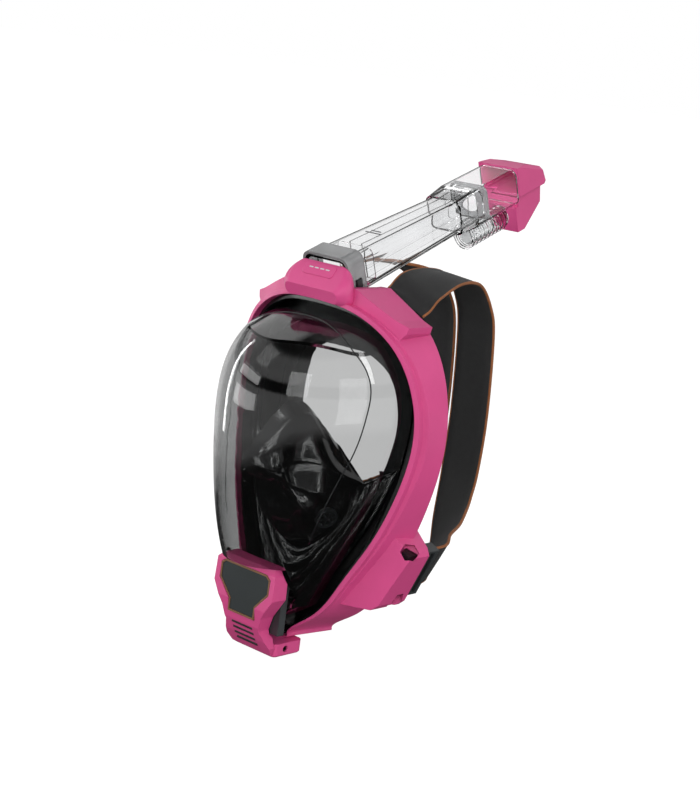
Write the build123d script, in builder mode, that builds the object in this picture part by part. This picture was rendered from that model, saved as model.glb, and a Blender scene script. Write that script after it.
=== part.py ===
from build123d import *
import math
import os

os.makedirs("parts", exist_ok=True)

# ---- driving dimensions, mm ----
# +Z runs up the mask, -Y is the way the wearer looks, +X is the wearer's left side.
# The mask wraps round the face, so its layers are shells round one upright axis.
wrap_y = 145.0
lip_r = 178.5
face_r = 175.0
rim_front_r = 173.5
rim_back_r = 162.0
skirt_front_r = 161.7
skirt_back_r = 157.6
ring_front_r = 157.3
ring_back_r = 153.6
frame_back_y = 12.0

fit_gap = 0.3
frame_width = 9.0
lens_wall = 2.5
lens_inset = -2.4
lens_slope = 0.375
lens_edge = 3.5
lens_axis_y = 20.0
opening_inset = 34.0
flange_front_r = 144.0
flange_back_r = 142.0
collar_back_r = 131.0
opening_floor = 8.0
cup_middle_z = -8.0

# height, half width and foremost place of the lens front at a few levels
lens_levels = [
    (119, 40, -28),
    (105, 58, -62),
    (91, 67, -78),
    (57, 76, -90),
    (16, 72, -91),
    (-35, 59, -86),
    (-65, 48, -77),
    (-95, 36, -58),
    (-117, 20, -36),
]

# nose and mouth cup: place along Y, centre height, half width, half height
cup_levels = [
    (14, -8, 38, 44),
    (-2, -8, 38, 44),
    (-28, -2, 33, 43),
    (-52, 2, 24, 36),
    (-70, 6, 13, 21),
    (-81, 10, 5, 8),
]
cup_wall = 2.0

# chin cover and the outlet behind it
cover_top = -61.0
cover_wall = 3.2
outlet_y = -50.0
outlet_z = -86.0

# snorkel, measured along its own axis from the mouth of the socket
snorkel_tilt = 22.0
snorkel_origin = (0, -22, 133.2)
tube_width = 30.0
tube_height = 24.0
tube_end = 151.0
bore_width = 26.0
bore_height = 18.8
base_width = 38.0
base_height = 29.0
base_rise = 2.5
base_wall = 2.2
base_end = 17.0
taper_end = 124.0
foot_width = 26.0
foot_height = 17.0
foot_length = 7.0
collar_length = 16.0
button_x = 21.3
divider_start = 32.0
divider_end = 145.0
head_start = 125.0
head_end = 189.0
cage_start = 143.0
cage_end = 186.0
cage_radius = 9.5
cage_drop = -24.2
float_radius = 6.6

# straps and buckles
strap_width = 34.0
strap_thick = 2.0
pocket_middle = (72.6, 20.0, -57.0)
pocket_turn = 23.0
pocket_depth = 18.0
pocket_width = 37.0
pocket_thick = 9.0

window_depth = 9.0
window_radius = 6.4
chin_middle_y = -37.0
screw_y = -40.0
screw_z = -121.0
chin_half_width = 21.0
inlet_radius = 8.0
outlet_half_width = 24.0
outlet_radius = 14.0
badge_top = -64.0
badge_y = -65.2
slot_count = 4
slot_top = -106.0
slot_pitch = 4.2
slot_height = 1.6
divider_gap = 11.0
rib_count = 9
rib_pitch = 4.7


# right half of the egg-shaped inner edge of the frame, from the top to the chin
egg_points = [
    (0, 121),
    (36, 117),
    (63, 101),
    (80, 72),
    (85, 42),
    (79, 0),
    (67, -35),
    (50, -68),
    (30, -97),
    (14, -112),
    (0, -116),
]


def outline(inset):
    """The egg outline seen from the front, drawn inwards by inset, and less so at the chin."""
    moved = []
    for i, (x, z) in enumerate(egg_points):
        x0, z0 = egg_points[i - 1] if i else (-36, 117)
        x1, z1 = egg_points[i + 1] if i + 1 < len(egg_points) else (-14, -112)
        shift = inset * min(1, (z + 135) / 60) / math.hypot(x1 - x0, z1 - z0)
        moved.append((x + shift * (z1 - z0), z - shift * (x1 - x0)))
    with BuildSketch() as egg:
        with BuildLine():
            Spline(*moved, tangents=[(1, -0.02), (-1, -0.02)])
            mirror(about=Plane.YZ)
        make_face()
    return egg.sketch


def front_shell(front_r, back_r):
    """The space between two shells round the wrap axis, on the face side of it."""
    half_span = 120.0
    with BuildPart() as shell:
        with BuildSketch(Plane.XY.offset(-160)):
            with BuildLine():
                for radius in (front_r, back_r):
                    set_back = wrap_y - math.sqrt(radius**2 - half_span**2)
                    ThreePointArc(
                        (-half_span, set_back), (0, wrap_y - radius), (half_span, set_back)
                    )
                for side in (-half_span, half_span):
                    ends = [wrap_y - math.sqrt(r**2 - half_span**2) for r in (front_r, back_r)]
                    Line((side, ends[0]), (side, ends[1]))
            make_face()
        extrude(amount=340)
    return shell.part


def egg_block(inset, inner=None, front_y=-110, back_y=60):
    """The egg outline, or a ring between two of them, carried straight from front to back."""
    with BuildPart() as block:
        with BuildSketch(Plane.XZ.offset(-back_y)):
            add(outline(inset))
            if inner is not None:
                add(outline(inner), mode=Mode.SUBTRACT)
        extrude(amount=back_y - front_y)
    return block.part


def wrapped_ring(outer_inset, inner_inset, front_r, back_r):
    """A ring between two egg outlines and between two shells round the wrap axis."""
    with BuildPart() as ring:
        add(egg_block(outer_inset, inner_inset))
        add(front_shell(front_r, back_r), mode=Mode.INTERSECT)
    return ring.part


def lens_body(inset):
    """Solid shape of the lens, drawn inwards by inset."""
    with BuildPart() as tapered:
        with BuildSketch(Plane.XZ.offset(-40)):
            add(outline(lens_inset - 40 * lens_slope + inset))
        with BuildSketch(Plane.XZ.offset(110)):
            add(outline(lens_inset + 110 * lens_slope + inset))
        loft()
    with BuildPart() as front:
        for height, half_width, foremost in lens_levels:
            depth = lens_axis_y - foremost - inset
            with BuildSketch(Plane.XY.offset(height)):
                with BuildLine():
                    arc = EllipticalCenterArc(
                        (0, lens_axis_y), half_width - inset, depth, 180, arc_size=180
                    )
                    Line(arc @ 1, arc @ 0)
                make_face()
        loft()
        with Locations((0, 48, 0)):
            Box(400, 100, 400)
    with BuildPart() as body:
        add(tapered.part)
        add(front.part, mode=Mode.INTERSECT)
        add(egg_block(lens_edge + inset), mode=Mode.INTERSECT)
    return body.part


def back_cut(radius):
    """Everything behind a shell round the wrap axis."""
    with BuildPart() as cut:
        with Locations((0, wrap_y, 0)):
            Cylinder(radius, 400)
    return cut.part


# ---- frame ----
wing_profile = [(12, 126), (20, 132.5), (30, 133), (62, 117), (70.5, 114), (69.5, 109.5), (60, 98)]
lobe_profile = [(70, -24), (85, -37), (87.5, -42), (71.5, -79), (67, -83), (44, -84), (50, -50)]


def side_block(points, side, front_r, back_y):
    """A block drawn in front view on one side of the frame, behind its front shell."""
    with BuildPart() as block:
        with BuildSketch(Plane.XZ.offset(-back_y)):
            with BuildLine():
                Polyline([(side * x, z) for x, z in points], close=True)
            make_face()
        extrude(amount=90)
        add(back_cut(front_r), mode=Mode.INTERSECT)
        add(egg_block(-1), mode=Mode.SUBTRACT)
    return block.part


def pocket_plane(side):
    """Plane across a strap pocket: x along the strap's width, y outwards, z to the rear."""
    turn = math.radians(pocket_turn)
    x, y, z = pocket_middle
    return Plane(
        origin=(side * x, y, z),
        x_dir=(math.sin(turn), 0, side * math.cos(turn)),
        z_dir=(0, 1, 0),
    )


def window_plane(side, end):
    """Plane facing out of a strap pocket's window: forwards at its top end, outwards at its foot."""
    base = pocket_plane(side)
    if end == side:
        return Plane(
            origin=base.from_local_coords((end * 16.5, 0, -11)),
            x_dir=base.x_dir,
            z_dir=base.x_dir * end * 0.55 + base.y_dir * 0.35 - base.z_dir * 0.72,
        )
    return Plane(
        origin=base.from_local_coords((end * 15.5, 2, -window_depth)),
        x_dir=base.z_dir,
        z_dir=base.x_dir * end * 0.8 + base.y_dir * 0.6,
    )


def snorkel_plane(along, rise=0.0):
    """Plane across the snorkel: x to the wearer's right, y away from the head."""
    tilt = math.radians(snorkel_tilt)
    x, y, z = snorkel_origin
    return Plane(
        origin=(
            x,
            y + along * math.cos(tilt) - rise * math.sin(tilt),
            z + along * math.sin(tilt) + rise * math.cos(tilt),
        ),
        x_dir=(-1, 0, 0),
        z_dir=(0, math.cos(tilt), math.sin(tilt)),
    )


def snorkel_side_plane(x):
    """Plane along the snorkel seen from its side: x along its axis, y away from the head."""
    tilt = math.radians(snorkel_tilt)
    return Plane(
        origin=(x, snorkel_origin[1], snorkel_origin[2]),
        x_dir=(0, math.cos(tilt), math.sin(tilt)),
        z_dir=(1, 0, 0),
    )


def socket_dome():
    """Outer shape of the snorkel socket, standing on the top of the frame."""
    with BuildPart() as dome:
        with BuildSketch(snorkel_plane(-17, -2)):
            RectangleRounded(48, 9, 4)
        with BuildSketch(snorkel_plane(-10, -2)):
            RectangleRounded(60, 19, 8)
        with BuildSketch(snorkel_plane(0, -0.5)):
            RectangleRounded(50, 27.6, 8)
        loft()
        add(egg_block(-0.5, None, -60, 20), mode=Mode.SUBTRACT)
    return dome.part


with BuildPart() as outer_egg:
    with BuildSketch(Plane.XZ.offset(-frame_back_y)):
        add(outline(-frame_width))
    with BuildSketch(Plane.XZ.offset(36)):
        add(outline(-1.5))
    loft()

with BuildPart() as chin_block:
    with Locations((0, chin_middle_y, -121.4)):
        Box(2 * chin_half_width, 28, 9.6)
    fillet(chin_block.edges().filter_by(Axis.Z), 4)
    chamfer(chin_block.faces().sort_by(Axis.Z)[0].edges(), 1.2)

with BuildPart() as frame:
    add(outer_egg.part)
    add(back_cut(face_r), mode=Mode.INTERSECT)
    add(egg_block(0), mode=Mode.SUBTRACT)
    add(wrapped_ring(-3.2, 0, lip_r, face_r - 2))
    for side in (-1, 1):
        add(side_block(wing_profile, side, face_r - 1.2, frame_back_y - 2))
        add(side_block(lobe_profile, side, face_r - 6, frame_back_y + 8))
        with BuildSketch(pocket_plane(side)):
            Rectangle(pocket_width, pocket_thick)
        extrude(amount=-pocket_depth, mode=Mode.SUBTRACT)
        for end in (-1, 1):
            with BuildSketch(window_plane(side, end)):
                RegularPolygon(window_radius, 6)
            extrude(amount=16, mode=Mode.SUBTRACT)
    add(chin_block.part)
    with BuildSketch(Plane.YZ.offset(-40)):
        with Locations((screw_y, screw_z)):
            Circle(2.4)
    extrude(amount=80, mode=Mode.SUBTRACT)
    add(socket_dome(), mode=Mode.SUBTRACT)
    with BuildSketch(snorkel_plane(-foot_length - 1)):
        RectangleRounded(foot_width + 1.8, foot_height + 1.8, 4.5)
    extrude(amount=20, mode=Mode.SUBTRACT)
    with BuildSketch(snorkel_plane(0, base_rise)):
        RectangleRounded(base_width + 8, base_height + 5, 7)
    extrude(amount=60, mode=Mode.SUBTRACT)
frame.part.label = "frame"
export_step(frame.part, "parts/frame.step")

with BuildPart() as chin_screws:
    for side in (-1, 1):
        with BuildSketch(Plane.YZ.offset(side * (chin_half_width - 1.2))):
            with Locations((screw_y, screw_z)):
                Circle(2.1)
                RegularPolygon(1.0, 6, mode=Mode.SUBTRACT)
        extrude(amount=-side * 8)
chin_screws.part.label = "chin_screws"
export_step(chin_screws.part, "parts/chin_screws.step")

# ---- lens and its clamped layers ----
with BuildPart() as lens:
    add(lens_body(0))
    add(lens_body(lens_wall), mode=Mode.SUBTRACT)
    add(back_cut(rim_back_r), mode=Mode.SUBTRACT)
    with Locations((0, -98, cover_top - 52)):
        Box(2 * outlet_half_width + 9, 110, 108, mode=Mode.SUBTRACT)
lens.part.label = "lens"
export_step(lens.part, "parts/lens.step")

with BuildPart() as lens_rim:
    add(wrapped_ring(fit_gap + 0.2, lens_edge - fit_gap, rim_front_r, rim_back_r))
lens_rim.part.label = "lens_rim"
export_step(lens_rim.part, "parts/lens_rim.step")

with BuildPart() as brow_collar:
    add(wrapped_ring(opening_inset - 2.5, opening_inset + 0.3, flange_front_r - 0.6, collar_back_r))
    with Locations((0, 0, opening_floor - 94)):
        Box(300, 300, 200, mode=Mode.SUBTRACT)

with BuildPart() as face_skirt:
    add(egg_block(15))
    add(front_shell(flange_front_r, flange_back_r), mode=Mode.INTERSECT)
    with BuildSketch(Plane.XZ.offset(-60)):
        add(outline(opening_inset))
        with Locations((0, opening_floor - 100)):
            Rectangle(200, 200, mode=Mode.SUBTRACT)
        with Locations((0, cup_middle_z)):
            Ellipse(45.5, 49.5)
    extrude(amount=120, mode=Mode.SUBTRACT)
    add(brow_collar.part)
    add(wrapped_ring(14, 17.5, skirt_back_r + 1, flange_back_r + 0.6))
    add(wrapped_ring(0.6, 19, skirt_front_r, skirt_back_r))
face_skirt.part.label = "face_skirt"
export_step(face_skirt.part, "parts/face_skirt.step")

with BuildPart() as rear_clamp_ring:
    add(wrapped_ring(0.8, 10.8, ring_front_r - 0.1, ring_back_r))
rear_clamp_ring.part.label = "rear_clamp_ring"
export_step(rear_clamp_ring.part, "parts/rear_clamp_ring.step")

# ---- nose and mouth cup ----
def cup_body(inset):
    """The cup's outer shape, drawn inwards by inset."""
    with BuildPart() as body:
        for y, z, half_width, half_height in cup_levels:
            with BuildSketch(Plane.XZ.offset(-y - inset)):
                with Locations((0, z)):
                    Ellipse(half_width - inset, half_height - inset)
        loft()
    return body.part


def inlet_plane(side, shift):
    """Plane on the side of the cup, facing out of it, where an inlet valve sits."""
    return Plane(origin=(side * 28.5, -24, -26), z_dir=(side * 0.88, -0.3, -0.44)).offset(shift)


with BuildPart() as nose_cup:
    add(cup_body(0))
    add(cup_body(cup_wall), mode=Mode.SUBTRACT)
    add(back_cut(flange_front_r + 0.2), mode=Mode.SUBTRACT)
    for side in (-1, 1):
        with BuildSketch(inlet_plane(side, -9)):
            Circle(inlet_radius + 0.1)
        extrude(amount=20, mode=Mode.SUBTRACT)
nose_cup.part.label = "nose_cup"
export_step(nose_cup.part, "parts/nose_cup.step")

with BuildPart() as cup_holder:
    with BuildSketch(Plane.XZ.offset(-40)):
        with Locations((0, cup_middle_z)):
            Ellipse(45, 49)
            Ellipse(36.5, 41.5, mode=Mode.SUBTRACT)
    extrude(amount=80)
    add(front_shell(flange_front_r - 0.1, flange_back_r - 0.1), mode=Mode.INTERSECT)
cup_holder.part.label = "cup_holder"
export_step(cup_holder.part, "parts/cup_holder.step")

for side, name in ((1, "left"), (-1, "right")):
    with BuildPart() as inlet_seat:
        with BuildSketch(inlet_plane(side, -1.5)):
            Circle(inlet_radius)
            Circle(inlet_radius - 2.2, mode=Mode.SUBTRACT)
            for turn in (0, 60, 120):
                Rectangle(2 * inlet_radius - 2, 1.1, rotation=turn)
        extrude(amount=3)
    inlet_seat.part.label = "inlet_seat_" + name
    export_step(inlet_seat.part, "parts/inlet_seat_" + name + ".step")
    with BuildPart() as inlet_flap:
        with BuildSketch(inlet_plane(side, -2.7)):
            Circle(inlet_radius - 0.9)
        extrude(amount=0.8)
    inlet_flap.part.label = "inlet_flap_" + name
    export_step(inlet_flap.part, "parts/inlet_flap_" + name + ".step")

# ---- outlet at the chin ----
with BuildPart() as outlet_housing:
    with Locations((0, outlet_y, outlet_z)):
        Box(2 * outlet_half_width, 6, 46)
        Cylinder(outlet_radius, 30, rotation=(90, 0, 0), mode=Mode.SUBTRACT)
outlet_housing.part.label = "outlet_housing"
export_step(outlet_housing.part, "parts/outlet_housing.step")

with BuildPart() as outlet_seat:
    with BuildSketch(Plane.XZ.offset(-outlet_y - 2)):
        with Locations((0, outlet_z)):
            Circle(outlet_radius)
            Circle(outlet_radius - 2.4, mode=Mode.SUBTRACT)
            for turn in (0, 60, 120):
                Rectangle(2 * outlet_radius - 2, 1.4, rotation=turn)
    extrude(amount=4.6)
outlet_seat.part.label = "outlet_seat"
export_step(outlet_seat.part, "parts/outlet_seat.step")

with BuildPart() as outlet_flap:
    with BuildSketch(Plane.XZ.offset(-outlet_y + 3.2)):
        with Locations((0, outlet_z)):
            Circle(outlet_radius - 1)
    extrude(amount=0.9)
outlet_flap.part.label = "outlet_flap"
export_step(outlet_flap.part, "parts/outlet_flap.step")


# right half of the chin cover from the front, and its section from the side
cover_outline = [
    (0, -59),
    (23, -59),
    (28, -64),
    (28.5, -81),
    (19, -96),
    (16, -106),
    (21, -119),
    (19, -125),
    (0, -127),
]
cover_side = [
    (-54, -59),
    (-63, -60),
    (-66.5, -64),
    (-67.5, -90),
    (-65, -104),
    (-60, -114),
    (-54.5, -121.5),
    (-51.4, -125.4),
    (-51.4, -112),
    (-54, -109.4),
]


def cover_body(inset):
    """The chin cover's outer shape, drawn inwards by inset in front view."""
    with BuildPart() as front_view:
        with BuildSketch(Plane.XZ.offset(30)):
            with BuildLine():
                Polyline(cover_outline)
                mirror(about=Plane.YZ)
            make_face()
            if inset:
                offset(amount=-inset)
        extrude(amount=60)
    with BuildPart() as body:
        with BuildSketch(Plane.YZ.offset(-40)):
            with BuildLine():
                Polyline(cover_side, close=True)
            make_face()
        extrude(amount=80)
        add(front_view.part, mode=Mode.INTERSECT)
    return body.part


badge_outline = [
    (0, badge_top),
    (20, badge_top),
    (24, badge_top - 3),
    (24, badge_top - 14),
    (13, badge_top - 26),
    (13, badge_top - 35),
    (0, badge_top - 35),
]


def badge_block(inset, near_y, far_y):
    """The badge outline as a block between two places along Y."""
    with BuildPart() as block:
        with BuildSketch(Plane.XZ.offset(-near_y)):
            with BuildLine():
                Polyline(badge_outline)
                mirror(about=Plane.YZ)
            make_face()
            if inset:
                offset(amount=-inset)
        extrude(amount=near_y - far_y)
    return block.part


with BuildPart() as chin_cover:
    add(cover_body(0))
    with Locations((0, cover_wall, 0)):
        add(cover_body(cover_wall), mode=Mode.SUBTRACT)
    add(badge_block(0, badge_y + 0.1, badge_y - 5), mode=Mode.SUBTRACT)
    for row in range(slot_count):
        with Locations((0, -62, slot_top - row * slot_pitch)):
            Box(20, 24, slot_height, mode=Mode.SUBTRACT)
chin_cover.part.label = "chin_cover"
export_step(chin_cover.part, "parts/chin_cover.step")

with BuildPart() as badge_trim:
    add(badge_block(0.3, badge_y, badge_y - 1.6))
    add(badge_block(1.5, badge_y, badge_y - 1.6), mode=Mode.SUBTRACT)
badge_trim.part.label = "badge_trim"
export_step(badge_trim.part, "parts/badge_trim.step")

with BuildPart() as badge_plate:
    add(badge_block(1.7, badge_y, badge_y - 1.2))
badge_plate.part.label = "badge_plate"
export_step(badge_plate.part, "parts/badge_plate.step")

# ---- snorkel ----
with BuildPart() as snorkel_socket:
    add(socket_dome())
    with BuildSketch(snorkel_plane(0)):
        RectangleRounded(foot_width + 1.8, foot_height + 1.8, 4.5)
    extrude(amount=-foot_length - 1, mode=Mode.SUBTRACT)
snorkel_socket.part.label = "snorkel_socket"
export_step(snorkel_socket.part, "parts/snorkel_socket.step")

with BuildPart() as snorkel_tube:
    with BuildSketch(snorkel_plane(0.4, base_rise)):
        RectangleRounded(base_width, base_height, 6)
    extrude(amount=base_end - 0.4)
    with BuildSketch(snorkel_plane(base_end, base_rise)):
        RectangleRounded(base_width, base_height, 6)
    with BuildSketch(snorkel_plane(taper_end)):
        RectangleRounded(tube_width, tube_height, 5)
    loft()
    with BuildSketch(snorkel_plane(taper_end)):
        RectangleRounded(tube_width, tube_height, 5)
    extrude(amount=tube_end - taper_end)
    with BuildSketch(snorkel_plane(2, base_rise)):
        RectangleRounded(base_width - 2 * base_wall, base_height - 2 * base_wall, 4)
    extrude(amount=base_end - 2, mode=Mode.SUBTRACT)
    with BuildSketch(snorkel_plane(base_end, base_rise)):
        RectangleRounded(base_width - 2 * base_wall, base_height - 2 * base_wall, 4)
    with BuildSketch(snorkel_plane(taper_end)):
        RectangleRounded(bore_width, bore_height, 3.4)
    loft(mode=Mode.SUBTRACT)
    with BuildSketch(snorkel_plane(taper_end)):
        RectangleRounded(bore_width, bore_height, 3.4)
    extrude(amount=tube_end, mode=Mode.SUBTRACT)
    with BuildSketch(snorkel_plane(-foot_length)):
        RectangleRounded(foot_width, foot_height, 4)
    extrude(amount=foot_length + 1)
    with BuildSketch(snorkel_plane(-foot_length)):
        RectangleRounded(foot_width - 3.6, foot_height - 3.6, 2.6)
    extrude(amount=foot_length + 4, mode=Mode.SUBTRACT)
snorkel_tube.part.label = "snorkel_tube"
export_step(snorkel_tube.part, "parts/snorkel_tube.step")

with BuildPart() as tube_dividers:
    share = (taper_end - divider_start) / (taper_end - base_end)
    start_height = bore_height + share * (base_height - 2 * base_wall - bore_height)
    for side in (-1, 1):
        with BuildSketch(snorkel_plane(divider_start, share * base_rise)):
            with Locations((side * divider_gap / 2, 0)):
                Rectangle(1.2, start_height - 0.2)
        with BuildSketch(snorkel_plane(taper_end)):
            with Locations((side * divider_gap / 2, 0)):
                Rectangle(1.2, bore_height - 0.2)
        loft()
        with BuildSketch(snorkel_plane(taper_end)):
            with Locations((side * divider_gap / 2, 0)):
                Rectangle(1.2, bore_height - 0.2)
        extrude(amount=divider_end - taper_end)
tube_dividers.part.label = "tube_dividers"
export_step(tube_dividers.part, "parts/tube_dividers.step")

with BuildPart() as tube_sleeve:
    with BuildSketch(snorkel_plane(10, base_rise - 0.15)):
        RectangleRounded(base_width - 5.4, base_height - 6, 3.6)
        RectangleRounded(base_width - 7.8, base_height - 8.4, 2.6, mode=Mode.SUBTRACT)
    extrude(amount=20)
tube_sleeve.part.label = "tube_sleeve"
export_step(tube_sleeve.part, "parts/tube_sleeve.step")

with BuildPart() as lock_collar:
    with BuildSketch(snorkel_plane(0.6, base_rise)):
        RectangleRounded(base_width + 4, base_height + 4, 7)
        RectangleRounded(base_width + 0.1, base_height + 0.1, 6, mode=Mode.SUBTRACT)
    extrude(amount=collar_length)
    for side in (-1, 1):
        with BuildSketch(snorkel_plane(9, -2)):
            with Locations((side * (button_x - 0.7), 0)):
                Rectangle(2.4, 7)
        extrude(amount=3, both=True, mode=Mode.SUBTRACT)
lock_collar.part.label = "lock_collar"
export_step(lock_collar.part, "parts/lock_collar.step")

for side, name in ((1, "left"), (-1, "right")):
    with BuildPart() as lock_button:
        with BuildSketch(snorkel_plane(9, -2)):
            with Locations((-side * button_x, 0)):
                Rectangle(1.6, 6.2)
        extrude(amount=2.5, both=True)
    lock_button.part.label = "lock_button_" + name
    export_step(lock_button.part, "parts/lock_button_" + name + ".step")

with BuildPart() as foot_seal:
    with BuildSketch(snorkel_plane(-5.4)):
        RectangleRounded(foot_width + 1.2, foot_height + 1.2, 4.4)
        RectangleRounded(foot_width - 0.4, foot_height - 0.4, 3.8, mode=Mode.SUBTRACT)
    extrude(amount=2.4)
foot_seal.part.label = "foot_seal"
export_step(foot_seal.part, "parts/foot_seal.step")

with BuildPart() as head_shroud:
    with BuildSketch(snorkel_plane(head_start)):
        RectangleRounded(tube_width + 3, tube_height + 3, 6)
    with BuildSketch(snorkel_plane(head_start + 18, 0.5)):
        RectangleRounded(37, 29, 6)
    with BuildSketch(snorkel_plane(head_end, 0.5)):
        RectangleRounded(36, 28, 6)
    loft(ruled=True)
    with BuildSketch(snorkel_plane(head_start)):
        RectangleRounded(tube_width + 0.1, tube_height + 0.1, 5)
    extrude(amount=20, mode=Mode.SUBTRACT)
    with BuildSketch(snorkel_plane(head_start + 18, 0.5)):
        RectangleRounded(32, 25.4, 4)
    extrude(amount=head_end, mode=Mode.SUBTRACT)
head_shroud.part.label = "head_shroud"
export_step(head_shroud.part, "parts/head_shroud.step")

with BuildPart() as head_valve_seat:
    with BuildSketch(snorkel_plane(tube_end + 2, 0.5)):
        RectangleRounded(31.8, 25.2, 4)
        Circle(8, mode=Mode.SUBTRACT)
    extrude(amount=2.5)
head_valve_seat.part.label = "head_valve_seat"
export_step(head_valve_seat.part, "parts/head_valve_seat.step")

with BuildPart() as float_cage:
    with BuildSketch(snorkel_plane(cage_start, cage_drop)):
        Circle(cage_radius - 1)
    extrude(amount=cage_end - cage_start)
    for rib in range(rib_count):
        with BuildSketch(snorkel_plane(cage_start + rib * rib_pitch, cage_drop)):
            Circle(cage_radius)
        extrude(amount=rib_pitch * 0.45)
    with BuildSketch(snorkel_plane(cage_start + 1.6, cage_drop)):
        Circle(cage_radius - 2.4)
    extrude(amount=cage_end, mode=Mode.SUBTRACT)
float_cage.part.label = "float_cage"
export_step(float_cage.part, "parts/float_cage.step")

with BuildPart() as float_ball:
    with BuildSketch(snorkel_plane(cage_start + 3, cage_drop)):
        Circle(float_radius)
    extrude(amount=24)
    fillet(float_ball.edges(), 2)
float_ball.part.label = "float"
export_step(float_ball.part, "parts/float.step")

with BuildPart() as float_seal:
    with BuildSketch(snorkel_plane(cage_start + 27, cage_drop)):
        Circle(float_radius - 1)
    extrude(amount=1.6)
float_seal.part.label = "float_seal"
export_step(float_seal.part, "parts/float_seal.step")


def cap_body(points, half_width, grow=0.0):
    """A cap shell seen from the side, as wide as the snorkel head."""
    with BuildPart() as body:
        with BuildSketch(snorkel_side_plane(-half_width - grow)):
            with BuildLine():
                Polyline(points, close=True)
            make_face()
            if grow:
                offset(amount=grow)
        extrude(amount=2 * (half_width + grow))
    return body.part


upper_side = [(190, 15.5), (201, 14.5), (219, 7), (222, -5), (220, -7), (190, -7)]
lower_side = [
    (190, -8),
    (218, -8),
    (216, -20),
    (195, -34.4),
    (187, -34.4),
    (187, -14.8),
    (190, -14.8),
]

with BuildPart() as cap_upper:
    add(cap_body(upper_side, 18.5))
    chamfer(cap_upper.edges().filter_by(Axis.X, reverse=True).group_by(Axis.Z)[-1], 2.5)
    with BuildSketch(snorkel_plane(183, 3.5)):
        RectangleRounded(31, 17, 4)
    extrude(amount=30, mode=Mode.SUBTRACT)
cap_upper.part.label = "cap_upper"
export_step(cap_upper.part, "parts/cap_upper.step")

with BuildPart() as cap_lower:
    add(cap_body(lower_side, 16))
    with BuildSketch(snorkel_plane(183, cage_drop)):
        Circle(cage_radius - 1.6)
    extrude(amount=20, mode=Mode.SUBTRACT)
cap_lower.part.label = "cap_lower"
export_step(cap_lower.part, "parts/cap_lower.step")

# ---- buckles, one per side ----
for side, name in ((1, "left"), (-1, "right")):
    base = pocket_plane(side)
    with BuildPart() as buckle:
        with BuildSketch(base.offset(0.6)):
            Rectangle(39, 9)
        extrude(amount=14)
        with BuildSketch(base.offset(7)):
            Rectangle(35, 20)
        extrude(amount=4, mode=Mode.SUBTRACT)
        with BuildSketch(base.offset(0.6)):
            Rectangle(14, 5)
        extrude(amount=-16)
    buckle.part.label = "buckle_" + name
    export_step(buckle.part, "parts/buckle_" + name + ".step")
    for end, place in ((side, "upper"), (-side, "lower")):
        with BuildPart() as prong:
            with BuildSketch(base):
                with Locations((end * 13.6, 0)):
                    Rectangle(4, 6)
            extrude(amount=-15.5)
            with BuildSketch(window_plane(side, end)):
                RegularPolygon(window_radius - 1, 6)
            extrude(amount=10)
            with BuildSketch(base.offset(2)):
                Rectangle(pocket_width - 0.8, pocket_thick - 0.8)
            extrude(amount=-pocket_depth - 1.5, mode=Mode.INTERSECT)
        prong.part.label = "prong_" + name + "_" + place
        export_step(prong.part, "parts/prong_" + name + "_" + place + ".step")

# ---- straps ----
# Both edges of the wearer's left strap, from the wing over the head to its lower end.
strap_outer_edge = [
    (61, 17, 119.5),
    (55, 32, 130),
    (46, 64, 138.5),
    (39, 97, 136),
    (36, 117, 119),
    (35, 127, 96),
    (35, 133, 36),
    (36, 130, -8),
    (41, 118, -28),
]
strap_inner_edge = [
    (29, 17, 137.5),
    (24, 32, 142),
    (14, 65, 143.5),
    (5.5, 98, 138),
    (3, 117.5, 121),
    (2, 127, 96),
    (2, 132.5, 36),
    (3, 131, -7),
    (9, 123, -34),
]
end_outer_edge = [(79.5, 35.6, -41), (78, 50, -40.5), (68, 66, -40)]
end_inner_edge = [(66.4, 35.6, -72), (62, 52, -70.5), (46, 74, -66)]


def ribbon(outer_edge, inner_edge, side):
    """A flat strap between two edges, on one side of the head."""
    outer = [Vector(side * x, y, z) for x, y, z in outer_edge]
    inner = [Vector(side * x, y, z) for x, y, z in inner_edge]
    middle = [(a + b) / 2 for a, b in zip(outer, inner)]
    with BuildPart() as strap:
        for i, point in enumerate(middle):
            ahead = middle[min(i + 1, len(middle) - 1)] - middle[max(i - 1, 0)]
            across = outer[i] - inner[i]
            with BuildSketch(Plane(origin=point, x_dir=across, z_dir=ahead)):
                Rectangle(strap_width, strap_thick)
        loft(ruled=True)
    return strap.part


for side, name in ((1, "left"), (-1, "right")):
    strap = ribbon(strap_outer_edge, strap_inner_edge, side)
    strap.label = "strap_" + name
    export_step(strap, "parts/strap_" + name + ".step")
    strap_end = ribbon(end_outer_edge, end_inner_edge, side)
    strap_end.label = "strap_end_" + name
    export_step(strap_end, "parts/strap_end_" + name + ".step")
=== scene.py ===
import math

import bmesh
import bpy
from mathutils import Matrix, Vector
from mathutils.bvhtree import BVHTree


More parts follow.
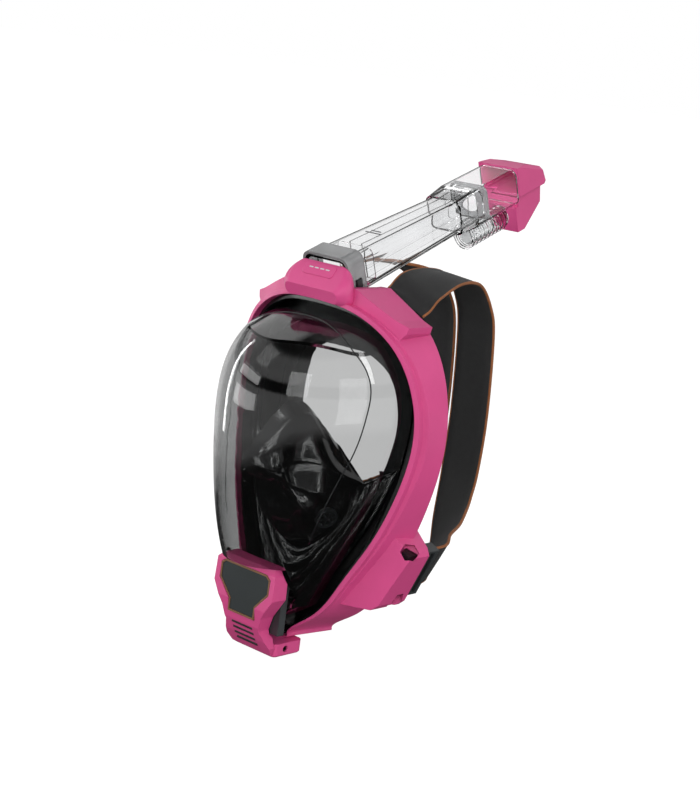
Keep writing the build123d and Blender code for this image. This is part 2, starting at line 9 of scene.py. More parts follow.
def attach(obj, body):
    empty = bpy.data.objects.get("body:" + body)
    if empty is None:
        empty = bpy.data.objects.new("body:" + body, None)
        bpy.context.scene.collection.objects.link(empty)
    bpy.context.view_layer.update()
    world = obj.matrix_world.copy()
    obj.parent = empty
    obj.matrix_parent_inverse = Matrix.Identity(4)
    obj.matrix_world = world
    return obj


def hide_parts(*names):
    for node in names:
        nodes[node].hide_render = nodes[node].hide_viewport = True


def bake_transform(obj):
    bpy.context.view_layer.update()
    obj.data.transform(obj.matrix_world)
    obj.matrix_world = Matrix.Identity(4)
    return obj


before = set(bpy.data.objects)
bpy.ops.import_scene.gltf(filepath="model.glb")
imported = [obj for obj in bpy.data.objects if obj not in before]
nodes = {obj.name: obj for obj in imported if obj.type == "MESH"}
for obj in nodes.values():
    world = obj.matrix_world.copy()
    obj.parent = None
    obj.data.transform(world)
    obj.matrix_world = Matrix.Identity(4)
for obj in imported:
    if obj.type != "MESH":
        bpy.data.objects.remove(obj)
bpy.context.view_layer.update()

MM = 0.001
scene = bpy.context.scene


# ---------------------------------------------------------------- camera
VIEW_TURNS = (41, 11, 7.5)  # azimuth, elevation and roll of the view, in degrees
VIEW_CENTRE = Vector((0, -0.030, 0))
VIEW_SHIFT = (0.0379, 0.0490)  # of the picture's middle, to its right and up
VIEW_DISTANCE = 1.2
FOCAL_LENGTH = 78.3


def place_camera():
    azimuth, elevation, roll = (math.radians(turn) for turn in VIEW_TURNS)
    back = Vector((
        math.sin(azimuth) * math.cos(elevation),
        -math.cos(azimuth) * math.cos(elevation),
        math.sin(elevation),
    ))
    right = Vector((math.cos(azimuth), math.sin(azimuth), 0))
    up = back.cross(right)
    leaned_right = right * math.cos(roll) + up * math.sin(roll)
    leaned_up = up * math.cos(roll) - right * math.sin(roll)
    target = VIEW_CENTRE + leaned_right * VIEW_SHIFT[0] + leaned_up * VIEW_SHIFT[1]
    data = bpy.data.cameras.new("camera")
    data.lens = FOCAL_LENGTH
    data.sensor_width = 36
    data.clip_start = 0.01
    data.clip_end = 60
    camera = bpy.data.objects.new("camera", data)
    scene.collection.objects.link(camera)
    turn = Matrix((leaned_right, leaned_up, back)).transposed().to_4x4()
    turn.translation = target + back * VIEW_DISTANCE
    camera.matrix_world = turn
    scene.camera = camera


place_camera()


# ---------------------------------------------------------------- materials
GRAIN_DEPTH = 0.00002
RIPPLE_DEPTH = 0.00002
ROUND_SAMPLES = 6


def new_tree(name):
    material = bpy.data.materials.new(name)
    material.use_nodes = True
    tree = material.node_tree
    return material, tree, tree.nodes["Principled BSDF"]


def scaled(color, share):
    return (*(min(1.0, c * share) for c in color[:3]), 1.0)


def noise(tree, coordinate, scale, detail, rough=0.55):
    node = tree.nodes.new("ShaderNodeTexNoise")
    node.inputs["Scale"].default_value = scale
    node.inputs["Detail"].default_value = detail
    node.inputs["Roughness"].default_value = rough
    tree.links.new(coordinate, node.inputs["Vector"])
    return node.outputs["Fac"]


def ramp(tree, value, stops):
    node = tree.nodes.new("ShaderNodeValToRGB")
    while len(node.color_ramp.elements) < len(stops):
        node.color_ramp.elements.new(0.5)
    for element, (place, color) in zip(node.color_ramp.elements, stops):
        element.position = place
        element.color = color
    tree.links.new(value, node.inputs["Fac"])
    return node.outputs["Color"]


def span(tree, value, low, high):
    node = tree.nodes.new("ShaderNodeMapRange")
    node.inputs["To Min"].default_value = low
    node.inputs["To Max"].default_value = high
    tree.links.new(value, node.inputs["Value"])
    return node.outputs["Result"]


def bump(tree, height, strength, distance, normal=None):
    node = tree.nodes.new("ShaderNodeBump")
    node.inputs["Strength"].default_value = strength
    node.inputs["Distance"].default_value = distance
    tree.links.new(height, node.inputs["Height"])
    if normal is not None:
        tree.links.new(normal, node.inputs["Normal"])
    return node.outputs["Normal"]


def rounded(tree, radius):
    node = tree.nodes.new("ShaderNodeBevel")
    node.samples = ROUND_SAMPLES
    node.inputs["Radius"].default_value = radius
    return node.outputs["Normal"]


def plastic(name, color, roughness, grain=2600, edge=0.0007, spread=0.06, **sockets):
    """Moulded plastic or rubber: faint mottle, a fine texture, softened edges and worn gloss."""
    material, tree, shader = new_tree(name)
    where = tree.nodes.new("ShaderNodeTexCoord").outputs["Object"]
    broad = noise(tree, where, 28, 5)
    tint = ramp(tree, broad, [(0.25, scaled(color, 1 - spread)), (0.75, scaled(color, 1 + spread))])
    tree.links.new(tint, shader.inputs["Base Color"])
    patch = noise(tree, where, 90, 6, 0.65)
    tree.links.new(span(tree, patch, roughness - 0.05, roughness + 0.06), shader.inputs["Roughness"])
    soft_edge = rounded(tree, edge) if edge else None
    fine = noise(tree, where, grain, 2)
    tree.links.new(bump(tree, fine, 0.35, GRAIN_DEPTH, soft_edge), shader.inputs["Normal"])
    for socket, value in sockets.items():
        shader.inputs[socket.replace("_", " ")].default_value = value
    return material


def clear(name, color, roughness, ior):
    """See-through moulding with a tint, faint ripples and slightly cloudy patches, which lets lamps in."""
    material, tree, shader = new_tree(name)
    where = tree.nodes.new("ShaderNodeTexCoord").outputs["Object"]
    broad = noise(tree, where, 14, 3)
    tint = ramp(tree, broad, [(0.3, scaled(color, 0.97)), (0.7, scaled(color, 1.02))])
    tree.links.new(tint, shader.inputs["Base Color"])
    patch = noise(tree, where, 60, 5, 0.6)
    tree.links.new(span(tree, patch, roughness, roughness + 0.03), shader.inputs["Roughness"])
    ripple = noise(tree, where, 24, 2)
    tree.links.new(bump(tree, ripple, 0.3, RIPPLE_DEPTH), shader.inputs["Normal"])
    shader.inputs["Transmission Weight"].default_value = 1.0
    shader.inputs["IOR"].default_value = ior
    lets_through = tree.nodes.new("ShaderNodeBsdfTransparent")
    lets_through.inputs["Color"].default_value = scaled(color, 1.0)
    rays = tree.nodes.new("ShaderNodeLightPath")
    mix = tree.nodes.new("ShaderNodeMixShader")
    tree.links.new(rays.outputs["Is Shadow Ray"], mix.inputs[0])
    tree.links.new(shader.outputs[0], mix.inputs[1])
    tree.links.new(lets_through.outputs[0], mix.inputs[2])
    tree.links.new(mix.outputs[0], tree.nodes["Material Output"].inputs["Surface"])
    return material


def webbing(name, color, rib, depth):
    """Woven tape: ribs across the tape crossed by finer threads, with lint-like variation; its colour has
    painted shade in the weave's hollows and a painted highlight on its raised threads.
    """
    material, tree, shader = new_tree(name)
    split = tree.nodes.new("ShaderNodeSeparateXYZ")
    tree.links.new(tree.nodes.new("ShaderNodeTexCoord").outputs["UV"], split.inputs["Vector"])
    waves = []
    for output, pitch in (("X", rib), ("Y", rib * 0.8)):
        turn = tree.nodes.new("ShaderNodeMath")
        turn.operation = "MULTIPLY"
        turn.inputs[1].default_value = 2 * math.pi / pitch
        tree.links.new(split.outputs[output], turn.inputs[0])
        sine = tree.nodes.new("ShaderNodeMath")
        sine.operation = "SINE"
        tree.links.new(turn.outputs[0], sine.inputs[0])
        waves.append(sine.outputs[0])
    weave = tree.nodes.new("ShaderNodeMath")
    weave.operation = "MULTIPLY"
    tree.links.new(waves[0], weave.inputs[0])
    tree.links.new(waves[1], weave.inputs[1])
    lifted = span(tree, weave.outputs[0], 0.0, 1.0)
    lifted.node.inputs["From Min"].default_value = -1.0
    # painted shade and painted highlight: the tape's colour follows the weave's height, darker in its
    # hollows and lighter on its raised threads
    tint = ramp(tree, lifted, [(0.2, scaled(color, 0.6)), (0.85, scaled(color, 1.35))])
    where = tree.nodes.new("ShaderNodeTexCoord").outputs["Object"]
    fluff = noise(tree, where, 220, 6, 0.7)
    lint = ramp(tree, fluff, [(0.3, (0.8, 0.8, 0.8, 1)), (0.7, (1.15, 1.15, 1.15, 1))])
    mix = tree.nodes.new("ShaderNodeMix")
    mix.data_type = "RGBA"
    mix.blend_type = "MULTIPLY"
    mix.inputs["Factor"].default_value = 1.0
    tree.links.new(tint, mix.inputs[6])
    tree.links.new(lint, mix.inputs[7])
    tree.links.new(mix.outputs[2], shader.inputs["Base Color"])
    tree.links.new(span(tree, lifted, 0.72, 0.88), shader.inputs["Roughness"])
    tree.links.new(bump(tree, lifted, 0.8, depth), shader.inputs["Normal"])
    shader.inputs["Sheen Weight"].default_value = 0.06
    return material


pink = plastic("pink_plastic", (0.63, 0.066, 0.232), 0.42, Coat_Weight=0.12, Coat_Roughness=0.3)
black_gloss = plastic("black_gloss", (0.0055, 0.0065, 0.0070), 0.16, spread=0.2)
silicone = plastic("black_silicone", (0.010, 0.0105, 0.011), 0.30, grain=900, edge=0.0005, spread=0.25)
gloss_silicone = plastic("gloss_silicone", (0.006, 0.0064, 0.0066), 0.11, grain=700, edge=0, spread=0.25,
                         Specular_IOR_Level=1.0)
charcoal = plastic("charcoal_plastic", (0.034, 0.039, 0.041), 0.40, spread=0.15)
slate = plastic("badge_slate", (0.024, 0.029, 0.030), 0.30, edge=0.0003, spread=0.12)
bronze = plastic("bronze_trim", (0.30, 0.155, 0.085), 0.34, grain=3800, edge=0.0003, spread=0.15,
                 Metallic=0.6)
collar_grey = plastic("collar_grey", (0.42, 0.425, 0.43), 0.20, spread=0.1, Transmission_Weight=0.6)
button_dark = plastic("button_dark", (0.014, 0.015, 0.016), 0.28, edge=0.0005, spread=0.2)
screw_dark = plastic("screw_dark", (0.02, 0.012, 0.015), 0.35, edge=0.0002, Metallic=0.7)
pale = plastic("pale_plastic", (0.62, 0.63, 0.63), 0.38)
line_grey = plastic("line_grey", (0.16, 0.16, 0.165), 0.35, edge=0, spread=0.12)
flap_clear = plastic("flap_clear", (0.52, 0.53, 0.53), 0.35, Transmission_Weight=0.4)
lens_clear = clear("lens_clear", (0.50, 0.505, 0.505), 0.0, 1.48)
tube_clear = clear("tube_clear", (0.975, 0.977, 0.98), 0.0, 1.30)
tape = webbing("charcoal_webbing", (0.016, 0.016, 0.0165), 1.3, 0.00012)
piping = webbing("edge_piping", (0.30, 0.105, 0.035), 0.9, 0.00008)

FINISH = {
    pink: ["frame", "chin_cover", "snorkel_socket", "cap_upper", "cap_lower"],
    black_gloss: ["lens_rim", "cup_holder"],
    silicone: ["face_skirt", "nose_cup", "foot_seal", "float_seal"],
    charcoal: ["rear_clamp_ring", "inlet_seat_left", "inlet_seat_right", "outlet_housing", "outlet_seat",
               "buckle_left", "buckle_right"],
    button_dark: ["lock_button_left", "lock_button_right", "prong_left_upper", "prong_left_lower",
                  "prong_right_upper", "prong_right_lower"],
    slate: ["badge_plate"],
    bronze: ["badge_trim"],
    collar_grey: ["lock_collar", "head_valve_seat"],
    screw_dark: ["chin_screws"],
    pale: ["float"],
    flap_clear: ["outlet_flap", "inlet_flap_left", "inlet_flap_right"],
    lens_clear: ["lens"],
    tube_clear: ["snorkel_tube", "tube_dividers", "tube_sleeve", "head_shroud", "float_cage"],
    tape: ["strap_left", "strap_right", "strap_end_left", "strap_end_right"],
}
for material, names in FINISH.items():
    for name in names:
        nodes[name].data.materials.clear()
        nodes[name].data.materials.append(material)


# ---------------------------------------------------------------- mesh helpers
def smooth_line(points, steps):
    """Catmull-Rom line through the points."""
    points = [Vector(p) for p in points]
    count = len(points)
    made = []
    for i in range(count - 1):
        b, c = points[i], points[i + 1]
        a = points[i - 1] if i else b * 2 - c
        d = points[i + 2] if i + 2 < count else c * 2 - b
        for k in range(steps):
            t = k / steps
            made.append(
                (b * 2 + (c - a) * t + (a * 2 - b * 5 + c * 4 - d) * t * t
                 + (b * 3 - a - c * 3 + d) * t * t * t) * 0.5
            )
    made.append(points[-1])
    return made


def link_mesh(name, vertices, faces, materials, smooth=True):
    mesh = bpy.data.meshes.new(name)
    mesh.from_pydata([Vector(v) * MM for v in vertices], [], faces)
    for material in materials:
        mesh.materials.append(material)
    if smooth:
        for polygon in mesh.polygons:
            polygon.use_smooth = True
    mesh.update()
    thing = bpy.data.objects.new(name, mesh)
    scene.collection.objects.link(thing)
    return thing


def tidy_normals(thing, merge=True):
    work = bmesh.new()
    work.from_mesh(thing.data)
    if merge:
        bmesh.ops.remove_doubles(work, verts=work.verts, dist=1e-6)
    bmesh.ops.recalc_face_normals(work, faces=work.faces)
    work.to_mesh(thing.data)
    work.free()


def grid_faces(rows, columns, wrap=False):
    faces = []
    for r in range(rows - 1):
        for c in range(columns if wrap else columns - 1):
            d = (c + 1) % columns
            near, far = r * columns, (r + 1) * columns
            faces.append((near + c, near + d, far + d, far + c))
    return faces


def thicken(thing, amount, offset):
    solid = thing.modifiers.new("thickness", "SOLIDIFY")
    solid.thickness = amount * MM
    solid.offset = offset


def subdivide_once(thing):
    sub = thing.modifiers.new("smooth", "SUBSURF")
    sub.levels = 1
    sub.render_levels = 1


def rod(name, points, radius, material, sides):
    """A round bar along a line of points, with closed ends."""
    count = len(points)
    vertices = []
    last_side = None
    for i, point in enumerate(points):
        ahead = points[i + 1] if i + 1 < count else point
        behind = points[i - 1] if i else point
        along = (Vector(ahead) - Vector(behind)).normalized()
        guide = last_side or (Vector((0, 0, 1)) if abs(along.z) < 0.9 else Vector((1, 0, 0)))
        across = (guide - along * guide.dot(along)).normalized()
        last_side = across
        other = along.cross(across)
        for s in range(sides):
            turn = 2 * math.pi * s / sides
            out = across * math.cos(turn) + other * math.sin(turn)
            vertices.append(Vector(point) + out * radius)
    faces = grid_faces(count, sides, wrap=True)
    faces.append(tuple(range(sides))[::-1])
    faces.append(tuple((count - 1) * sides + s for s in range(sides)))
    thing = link_mesh(name, vertices, faces, [material])
    tidy_normals(thing)
    return thing


# ---------------------------------------------------------------- nose and mouth cup
# Lines from the cup's base to the nose tip at some angles round it: 90 is up, -90 down.
CUP_TIP = (0, -84.0, 13.5)
CUP_LINES = {
    -90: [(0, 2.6, -60), (0, -1, -54), (0, -18, -53), (0, -36, -45),
          (0, -47, -31), (0, -49, -15), (0, -54, -4), (0, -66, -1)],
    -62: [(22, 3.8, -55), (16, -1, -50), (16, -17, -47), (15, -34, -39),
          (15, -45, -28), (14, -48, -14), (13, -54, -4), (10, -66, 0)],
    -35: [(40, 8, -38), (31, 0, -34), (30, -15, -31), (27, -30, -25),
          (23, -42, -18), (19, -48, -11), (16, -55, -3), (12, -67, 3)],
    -8: [(45, 10, -14), (37, 2, -14), (34, -12, -11), (29, -25, -8),
         (23, -38, -6), (17, -50, -3), (15, -59, 2), (12, -69, 7)],
    20: [(34, 6, -4), (31, 0, -1), (28, -12, 3), (22, -26, 9),
         (16, -40, 12), (12.5, -53, 11), (11, -63, 9), (9, -72, 10)],
    48: [(21, 3, 9), (18, -1, 11), (16, -14, 21), (13, -27, 29),
         (10, -41, 30), (8.5, -54, 25), (7.5, -64, 19), (6, -74, 16)],
    70: [(10, 2, 18), (9, -1, 20), (9, -16, 33), (8, -30, 43),
         (7, -44, 43), (5.5, -57, 35), (4.5, -67, 25), (3.5, -76, 18)],
    90: [(0, 1.6, 22), (0, -1, 25), (0, -17, 40), (0, -31, 49),
         (0, -45, 49.5), (0, -59, 41), (0, -69, 31), (0, -78, 20.5)],
}
CUP_TURNS = 120
CUP_WALL = 1.6
CREASE_DEPTH = 1.6
FLUTE_DEPTH = 1.3


def cup_line(angle):
    """The cup's line at any angle, blended smoothly between the given ones."""
    angle = (angle + 90) % 360 - 90
    mirrored = angle > 90
    if mirrored:
        angle = 180 - angle
    keys = sorted(CUP_LINES)
    place = max(i for i, k in enumerate(keys) if k <= angle + 1e-9)
    place = min(place, len(keys) - 2)
    share = (angle - keys[place]) / (keys[place + 1] - keys[place])
    share = share * share * (3 - 2 * share)
    below, above = CUP_LINES[keys[place]], CUP_LINES[keys[place + 1]]
    line = [Vector(a).lerp(Vector(b), share) for a, b in zip(below, above)]
    if mirrored:
        line = [Vector((-p.x, p.y, p.z)) for p in line]
    return line


def build_cup():
    """The cup's outer skin from 120 lines round it, creased at the sides and fluted near the nose."""
    lines = []
    for t in range(CUP_TURNS):
        angle = -90 + 360 * t / CUP_TURNS
        folded = math.radians(angle)
        side = abs(math.cos(folded))
        line = smooth_line(cup_line(angle) + [Vector(CUP_TIP)], 6)[:-2]
        shaped = []
        for i, point in enumerate(line):
            share = i / (len(line) - 1)
            away = Vector((point.x, 0, point.z - 4))
            out = away.normalized() if away.length > 1 else Vector((0, 0, 1))
            wave = math.sin(5.5 * share * math.pi + 3 * math.sin(folded))
            crease = CREASE_DEPTH * wave * side * math.sin(math.pi * share)
            near_nose = math.exp(-((share - 0.55) / 0.2) ** 2)
            flute = FLUTE_DEPTH * math.cos(11 * folded + 2.5 * share) * near_nose
            shaped.append(point + out * (crease + flute))
        lines.append(shaped)
    rings = list(zip(*lines))
    vertices = [p for ring in rings for p in ring]
    tip = len(vertices)
    vertices.append(Vector(CUP_TIP) + Vector((0, 0.4, 0)))
    faces = grid_faces(len(rings), CUP_TURNS, wrap=True)
    last = (len(rings) - 1) * CUP_TURNS
    faces += [(last + t, last + (t + 1) % CUP_TURNS, tip) for t in range(CUP_TURNS)]
    cup = link_mesh("nose_cup_form", vertices, faces, [gloss_silicone])
    tidy_normals(cup)
    thicken(cup, CUP_WALL, -1.0)
    subdivide_once(cup)
    return cup


cup = build_cup()
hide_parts("nose_cup", "cup_holder")
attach(cup, "mask")


# ---------------------------------------------------------------- pleated apron below the cup
APRON_RIM = [(0, -101), (14, -93), (27, -76), (39, -56), (49, -37), (58, -18), (64, 0), (68, 16)]
APRON_CUP = [(0, -22, -54), (9, -21, -52), (17, -20, -47), (25, -18, -40), (31, -15, -31),
             (35, -12, -21), (35, -9, -12), (33, -5, -6)]
RIM_RADIUS = 163.6  # the rim's front edge lies on an upright cylinder of this size
RIM_AXIS = 145
APRON_STEPS = 26
APRON_WALL = 1.2
LONG_FOLD, SMALL_FOLD, BULGE = 3.4, 1.2, 6


def both_sides(half):
    """A line from the far side to the near one, from its half that starts at the middle."""
    return [(-x, y, z) for x, y, z in reversed(half[1:])] + half


def build_apron():
    """Black silicone wall from the lower rim to the cup, with long folds running to the chin."""
    rim = [(x, RIM_AXIS - math.sqrt(RIM_RADIUS ** 2 - x * x), z) for x, z in APRON_RIM]
    outer = smooth_line(both_sides(rim), 12)
    inner = smooth_line(both_sides(APRON_CUP), 12)
    columns = len(outer)
    vertices = []
    for s in range(APRON_STEPS + 1):
        share = s / APRON_STEPS
        swell = math.sin(math.pi * share)
        for c in range(columns):
            along = c / (columns - 1)
            arch = math.sin(math.pi * along)
            bend = 5 * arch + 1.2 * math.sin(14 * along)
            fold = LONG_FOLD * math.sin(9 * math.pi * share + bend)
            fold += SMALL_FOLD * math.sin(21 * math.pi * share - 9 * arch)
            push = -(BULGE + fold) * swell * arch ** 0.5
            vertices.append(outer[c].lerp(inner[c], share) + Vector((0, push, 0)))
    faces = grid_faces(APRON_STEPS + 1, columns)
    apron = link_mesh("skirt_apron", vertices, faces, [gloss_silicone])
    tidy_normals(apron)
    thicken(apron, APRON_WALL, 0.0)
    return apron


apron = build_apron()
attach(apron, "mask")


# ---------------------------------------------------------------- straps
# Both edges of the wearer's left strap, from the wing over the head to the buckle.
STRAP_OUTER = [(57, 11, 116), (57, 17, 119.5), (53, 33, 129.5), (46, 64, 138.5), (39, 97, 136),
               (36, 117, 119), (35, 127, 96), (35, 133, 36), (36, 130, -8), (41, 118, -28),
               (55, 93, -38), (68, 66, -40), (78, 50, -40.5), (79.5, 35.6, -41)]
STRAP_INNER = [(27, 11, 132.5), (27, 17, 136), (23, 33, 142.5), (14, 65, 143.5), (5.5, 98, 138),
               (3, 117.5, 121), (2, 127, 96), (2, 132.5, 36), (3, 131, -7), (9, 123, -34),
               (27, 100, -56), (46, 74, -66), (62, 52, -70.5), (66.4, 35.6, -72)]
# The tape's section, across and proud of it, with a thin bead of piping along both edges.
STRAP_SECTION = [(-16.2, 0.8), (-10, 0.95), (0, 1.0), (10, 0.95), (16.2, 0.8),
                 (16.6, 1.15), (17.3, 0.85), (17.5, 0), (17.3, -0.85), (16.6, -1.15),
                 (16.2, -0.8), (10, -0.95), (0, -1.0), (-10, -0.95), (-16.2, -0.8),
                 (-16.6, -1.15), (-17.3, -0.85), (-17.5, 0), (-17.3, 0.85), (-16.6, 1.15)]


def build_strap(side, name):
    """One tape with its piping; its lower end lies at the buckle."""
    outer = smooth_line([(side * x, y, z) for x, y, z in STRAP_OUTER], 9)
    inner = smooth_line([(side * x, y, z) for x, y, z in STRAP_INNER], 9)
    count, sides = len(outer), len(STRAP_SECTION)
    middle = [(a + b) / 2 for a, b in zip(outer, inner)]
    vertices, lengths, run = [], [], 0.0
    for i in range(count):
        along = (middle[min(i + 1, count - 1)] - middle[max(i - 1, 0)]).normalized()
        across = outer[i] - inner[i]
        across = (across - along * across.dot(along)).normalized()
        proud = across.cross(along) * side
        if i:
            run += (middle[i] - middle[i - 1]).length
        lengths.append(run)
        for u, w in STRAP_SECTION:
            vertices.append(middle[i] + across * u + proud * w)
    faces = grid_faces(count, sides, wrap=True)
    marks, coordinates = [], []
    for near, far in zip(lengths, lengths[1:]):
        for s in range(sides):
            marks.append(1 if 4 <= s <= 9 or 14 <= s <= 19 else 0)
            u0, u1 = STRAP_SECTION[s][0], STRAP_SECTION[(s + 1) % sides][0]
            coordinates.append([(u0, near), (u1, near), (u1, far), (u0, far)])
    for end in (0, count - 1):
        faces.append(tuple(end * sides + s for s in range(sides)))
        marks.append(0)
        coordinates.append([(u, lengths[end] + w) for u, w in STRAP_SECTION])
    strap = link_mesh("strap_" + name + "_webbing", vertices, faces, [tape, piping])
    layer = strap.data.uv_layers.new(name="UVMap")
    for polygon, mark, corners in zip(strap.data.polygons, marks, coordinates):
        polygon.material_index = mark
        for loop, corner in zip(polygon.loop_indices, corners):
            layer.data[loop].uv = corner
    tidy_normals(strap, merge=False)
    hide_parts("strap_" + name, "strap_end_" + name)
    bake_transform(strap)


for side, name in ((1, "left"), (-1, "right")):
    build_strap(side, name)


# ---------------------------------------------------------------- lens window line
WELL_AHEAD = -200  # a distance in front of everything, from which surfaces are looked for


def surface_tree(name):
    work = bmesh.new()
    work.from_mesh(nodes[name].data)
    tree = BVHTree.FromBMesh(work)
    work.free()
    return tree


# The line in the front view: a squared arch, widest at WINDOW_MID, on two legs that bend inwards
# there on a wide arc and run on straight, drawn in by LEG_LEAN of their height.
WINDOW_WIDE, WINDOW_MID, WINDOW_TOP, WINDOW_FOOT = 64.7, 57.0, 109.5, -38.0
ARCH_POWER = 2.3
LEG_RADIUS, LEG_LEAN = 125.0, 0.3
WINDOW_STEPS = 36


def window_half():
    """Half of the line well ahead of the lens, from the arch's top down to the foot."""
    points = []
    for step in range(WINDOW_STEPS):
        turn = math.radians(90 * (1 - step / WINDOW_STEPS))
        x = WINDOW_WIDE * math.cos(turn) ** (2 / ARCH_POWER)
        rise = (WINDOW_TOP - WINDOW_MID) * math.sin(turn) ** (2 / ARCH_POWER)
        points.append((x, WELL_AHEAD, WINDOW_MID + rise))
    bend_end = LEG_RADIUS * LEG_LEAN
    for step in range(WINDOW_STEPS + 1):
        below = (WINDOW_MID - WINDOW_FOOT) * step / WINDOW_STEPS
        bent = min(below, bend_end)
        inwards = bent ** 2 / (2 * LEG_RADIUS) + LEG_LEAN * (below - bent)
        points.append((WINDOW_WIDE - inwards, WELL_AHEAD, WINDOW_MID - below))
    return points


def build_window_line():
    lens_tree = surface_tree("lens")
    on_lens = []
    for x, start, z in both_sides(window_half()):
        hit = lens_tree.ray_cast(Vector((x, start, z)) * MM, Vector((0, 1, 0)))[0]
        if hit:
            on_lens.append(hit / MM + Vector((0, -0.1, 0)))
    line = rod("lens_window_line", on_lens, 0.45, black_gloss, sides=8)
    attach(line, "mask")


build_window_line()


# ---------------------------------------------------------------- plain plate and marks on the snorkel
TILT = math.radians(22)  # of the snorkel's axis above level
SIDEWAYS = Vector((1, 0, 0))
ALONG = Vector((0, math.cos(TILT), math.sin(TILT)))
RISE = Vector((0, -math.sin(TILT), math.cos(TILT)))
MOUTH = Vector((0, -22, 133.2))


def slab(name, middle, across, ahead, half_width, half_length, height, corner, material, edge=0.25):
    """A thin plate with rounded corners, standing on the plane through its middle."""
    proud = across.cross(ahead).normalized()
    outline = []
    for turn, (sx, sy) in enumerate(((1, 1), (-1, 1), (-1, -1), (1, -1))):
        for step in range(7):
            angle = math.radians(90 * turn + 15 * step)
            outline.append((
                sx * (half_width - corner) + corner * math.cos(angle),
                sy * (half_length - corner) + corner * math.sin(angle),
            ))
    count = len(outline)
    vertices = [middle + across * u + ahead * v + proud * h for h in (-0.4, height) for u, v in outline]
    faces = [tuple(range(count))[::-1], tuple(range(count, 2 * count))]
    faces += [(i, (i + 1) % count, count + (i + 1) % count, count + i) for i in range(count)]
    plate = link_mesh(name, vertices, faces, [material], smooth=False)
    tidy_normals(plate)
    soft = plate.modifiers.new("soft_edges", "BEVEL")
    soft.width = edge * MM
    soft.segments = 2
    return plate


def build_marks():
    """A plain plate with dashes on the socket, and two moulded lines on the tube."""
    face = (ALONG * 10 + RISE * 5.8).normalized()
    middle = MOUTH + ALONG * -5.6 + RISE * 10.0
    plate = slab("socket_plate", middle, SIDEWAYS, face, 14.0, 4.6, 0.7, 2.2, pink)
    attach(plate, "mask")
    on_plate = middle + face * 0.9 + SIDEWAYS.cross(face) * 0.7
    for number, place in enumerate((-7.6, -2.6, 2.4, 7.4), start=1):
        dash = slab("socket_dash_" + str(number), on_plate + SIDEWAYS * place,
                    SIDEWAYS, face, 1.8, 0.45, 0.25, 0.4, pale, edge=0.08)
        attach(dash, "mask")
    for number, (start, half) in enumerate(((50, 7.0), (53.5, 4.5)), start=1):
        top = 17 - 5 * (start - 17) / 107  # the tube's top wall comes down along its taper
        mark = slab("tube_line_" + str(number), MOUTH + ALONG * start + RISE * top,
                    SIDEWAYS, ALONG, half, 0.5, 0.3, 0.4, line_grey, edge=0.08)
        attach(mark, "snorkel")


build_marks()


# ---------------------------------------------------------------- painted shade: dark bars in the chin vents
VENT_TOP, VENT_PITCH, VENT_COUNT = -106.0, 4.2, 4
SHADE_BAR_HALF_WIDTH, SHADE_BAR_HALF_HEIGHT, SHADE_BAR_DEPTH = 9.9, 0.74, 5
BOX_FACES = ((0, 1, 3, 2), (4, 6, 7, 5), (0, 4, 5, 1), (2, 3, 7, 6), (0, 2, 6, 4), (1, 5, 7, 3))


def build_vent_shade_bars():
    """One dark bar in each vent, just behind the cover's face: painted shade that makes the slots look
    dark.
    """
    cover_tree = surface_tree("chin_cover")
    vertices, faces = [], []
    for row in range(VENT_COUNT):
        z = VENT_TOP - row * VENT_PITCH
        hit = cover_tree.ray_cast(Vector((0, WELL_AHEAD, z + VENT_PITCH / 2)) * MM, Vector((0, 1, 0)))[0]
        front = hit.y / MM + 0.9
        start = len(vertices)
        for x in (-SHADE_BAR_HALF_WIDTH, SHADE_BAR_HALF_WIDTH):
            for y in (front, front + SHADE_BAR_DEPTH):
                for rise in (-SHADE_BAR_HALF_HEIGHT, SHADE_BAR_HALF_HEIGHT):
                    vertices.append((x, y, z + rise))
        faces += [tuple(start + corner for corner in face) for face in BOX_FACES]
    # painted shade: the dark bars stand in for the shade deep inside the vents
    bars = link_mesh("vent_painted_shade_bars", vertices, faces, [button_dark], smooth=False)
    tidy_normals(bars)
    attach(bars, "mask")


build_vent_shade_bars()


# ---------------------------------------------------------------- floor, world and lights
FLOOR_HALF, FLOOR_LEVEL = 40000, -128
LIGHT_SHARE = 0.36  # of the white backdrop, as light on the object
# The height of a direction, from -1 to 1, and the share of the backdrop seen there in a reflection:
# two pale bands, with dark above, between and below them.
DARK, PALE = 0.03, 0.75
MIRROR_BANDS = [(-0.32, DARK), (-0.22, PALE), (0.09, PALE), (0.12, DARK),
                (0.26, DARK), (0.30, PALE), (0.70, PALE), (0.80, 0.05)]


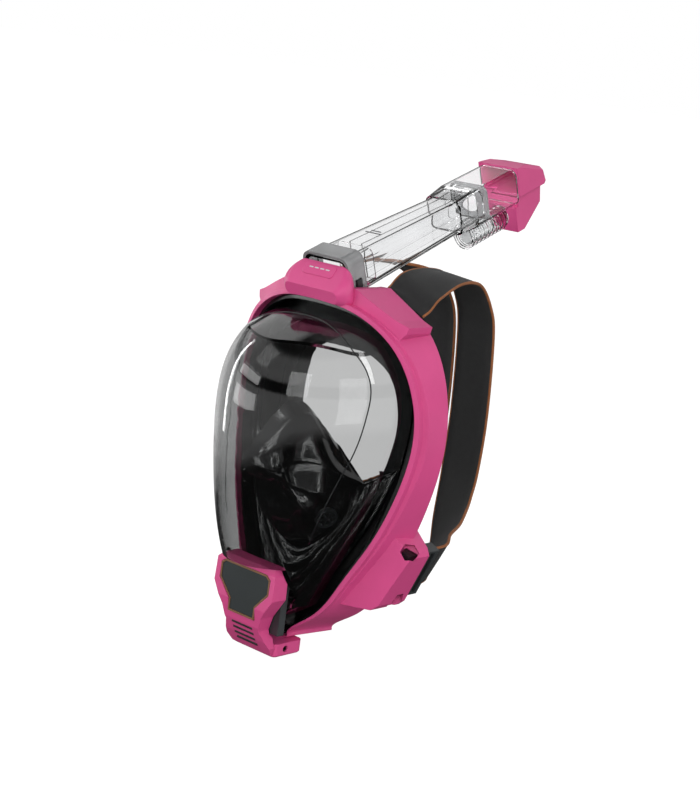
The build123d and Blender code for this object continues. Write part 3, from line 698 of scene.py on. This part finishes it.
def build_stage():
    turns = ((-1, -1), (1, -1), (1, 1), (-1, 1))
    corners = [(x * FLOOR_HALF, y * FLOOR_HALF, FLOOR_LEVEL) for x, y in turns]
    floor = link_mesh("floor", corners, [(0, 1, 2, 3)], [], smooth=False)
    material, tree, shader = new_tree("floor_white")
    where = tree.nodes.new("ShaderNodeTexCoord").outputs["Object"]
    mottle = noise(tree, where, 6, 3)
    tint = ramp(tree, mottle, [(0.3, (0.20, 0.20, 0.20, 1)), (0.7, (0.21, 0.21, 0.21, 1))])
    tree.links.new(tint, shader.inputs["Base Color"])
    shader.inputs["Roughness"].default_value = 0.9
    shader.inputs["Emission Color"].default_value = (1, 1, 1, 1)
    shader.inputs["Emission Strength"].default_value = 0.95
    floor.data.materials.append(material)
    floor.visible_glossy = False
    floor.visible_diffuse = False
    floor.visible_transmission = False
    world = bpy.data.worlds.new("studio")
    world.use_nodes = True
    scene.world = world
    tree = world.node_tree
    background = tree.nodes["Background"]
    background.inputs["Color"].default_value = (1, 1, 1, 1)
    rays = tree.nodes.new("ShaderNodeLightPath")
    split = tree.nodes.new("ShaderNodeSeparateXYZ")
    tree.links.new(tree.nodes.new("ShaderNodeTexCoord").outputs["Generated"], split.inputs["Vector"])
    height = span(tree, split.outputs["Z"], 0.0, 1.0)
    height.node.inputs["From Min"].default_value = -1.0
    mirrored = tree.nodes.new("ShaderNodeMix")
    tree.links.new(rays.outputs["Glossy Depth"], mirrored.inputs["Factor"])
    mirrored.inputs[2].default_value = 1.0
    bands = ramp(tree, height, [(z / 2 + 0.5, (v, v, v, 1)) for z, v in MIRROR_BANDS])
    tree.links.new(bands, mirrored.inputs[3])
    level = tree.nodes.new("ShaderNodeMath")
    level.operation = "MULTIPLY"
    tree.links.new(span(tree, rays.outputs["Diffuse Depth"], 1.0, LIGHT_SHARE), level.inputs[0])
    tree.links.new(mirrored.outputs[0], level.inputs[1])
    tree.links.new(level.outputs[0], background.inputs["Strength"])


def lamp(name, place, aim, width, height, energy, mirrored=True):
    """A panel that lights the object, and shows in its reflections too unless mirrored is False."""
    data = bpy.data.lights.new(name, "AREA")
    data.shape = "RECTANGLE"
    data.size = width
    data.size_y = height
    data.energy = energy
    thing = bpy.data.objects.new(name, data)
    scene.collection.objects.link(thing)
    thing.location = place
    thing.rotation_mode = "QUATERNION"
    thing.rotation_quaternion = (Vector(aim) - Vector(place)).to_track_quat("-Z", "Y")
    thing.visible_glossy = mirrored


build_stage()
lamp("key", (1.1, -1.8, 0.7), (0, 0, 0), 0.9, 0.9, 17, mirrored=False)
lamp("side", (1.9, -0.3, 0.25), (0, 0.05, 0), 0.7, 1.2, 13, mirrored=False)
lamp("kicker", (1.35, 0.1, 0.95), (0, -0.06, 0), 0.10, 0.9, 1.8)
lamp("fill", (-0.9, -1.5, 1.3), (0, 0, 0), 0.9, 0.9, 6, mirrored=False)
lamp("top", (0.2, 0.3, 1.9), (0, 0, 0), 1.2, 1.2, 2.5)
lamp("strip", (-1.5, -0.35, 0.25), (0, -0.06, 0), 0.10, 1.2, 4)
lamp("low_panel", (-1.1, -1.35, -0.02), (0, -0.09, 0.06), 1.3, 0.24, 3.2)
lamp("high_panel", (-1.1, -1.3, 0.42), (0, -0.09, 0.06), 1.3, 0.24, 3.2)

scene.view_settings.view_transform = "Standard"
scene.view_settings.look = "None"
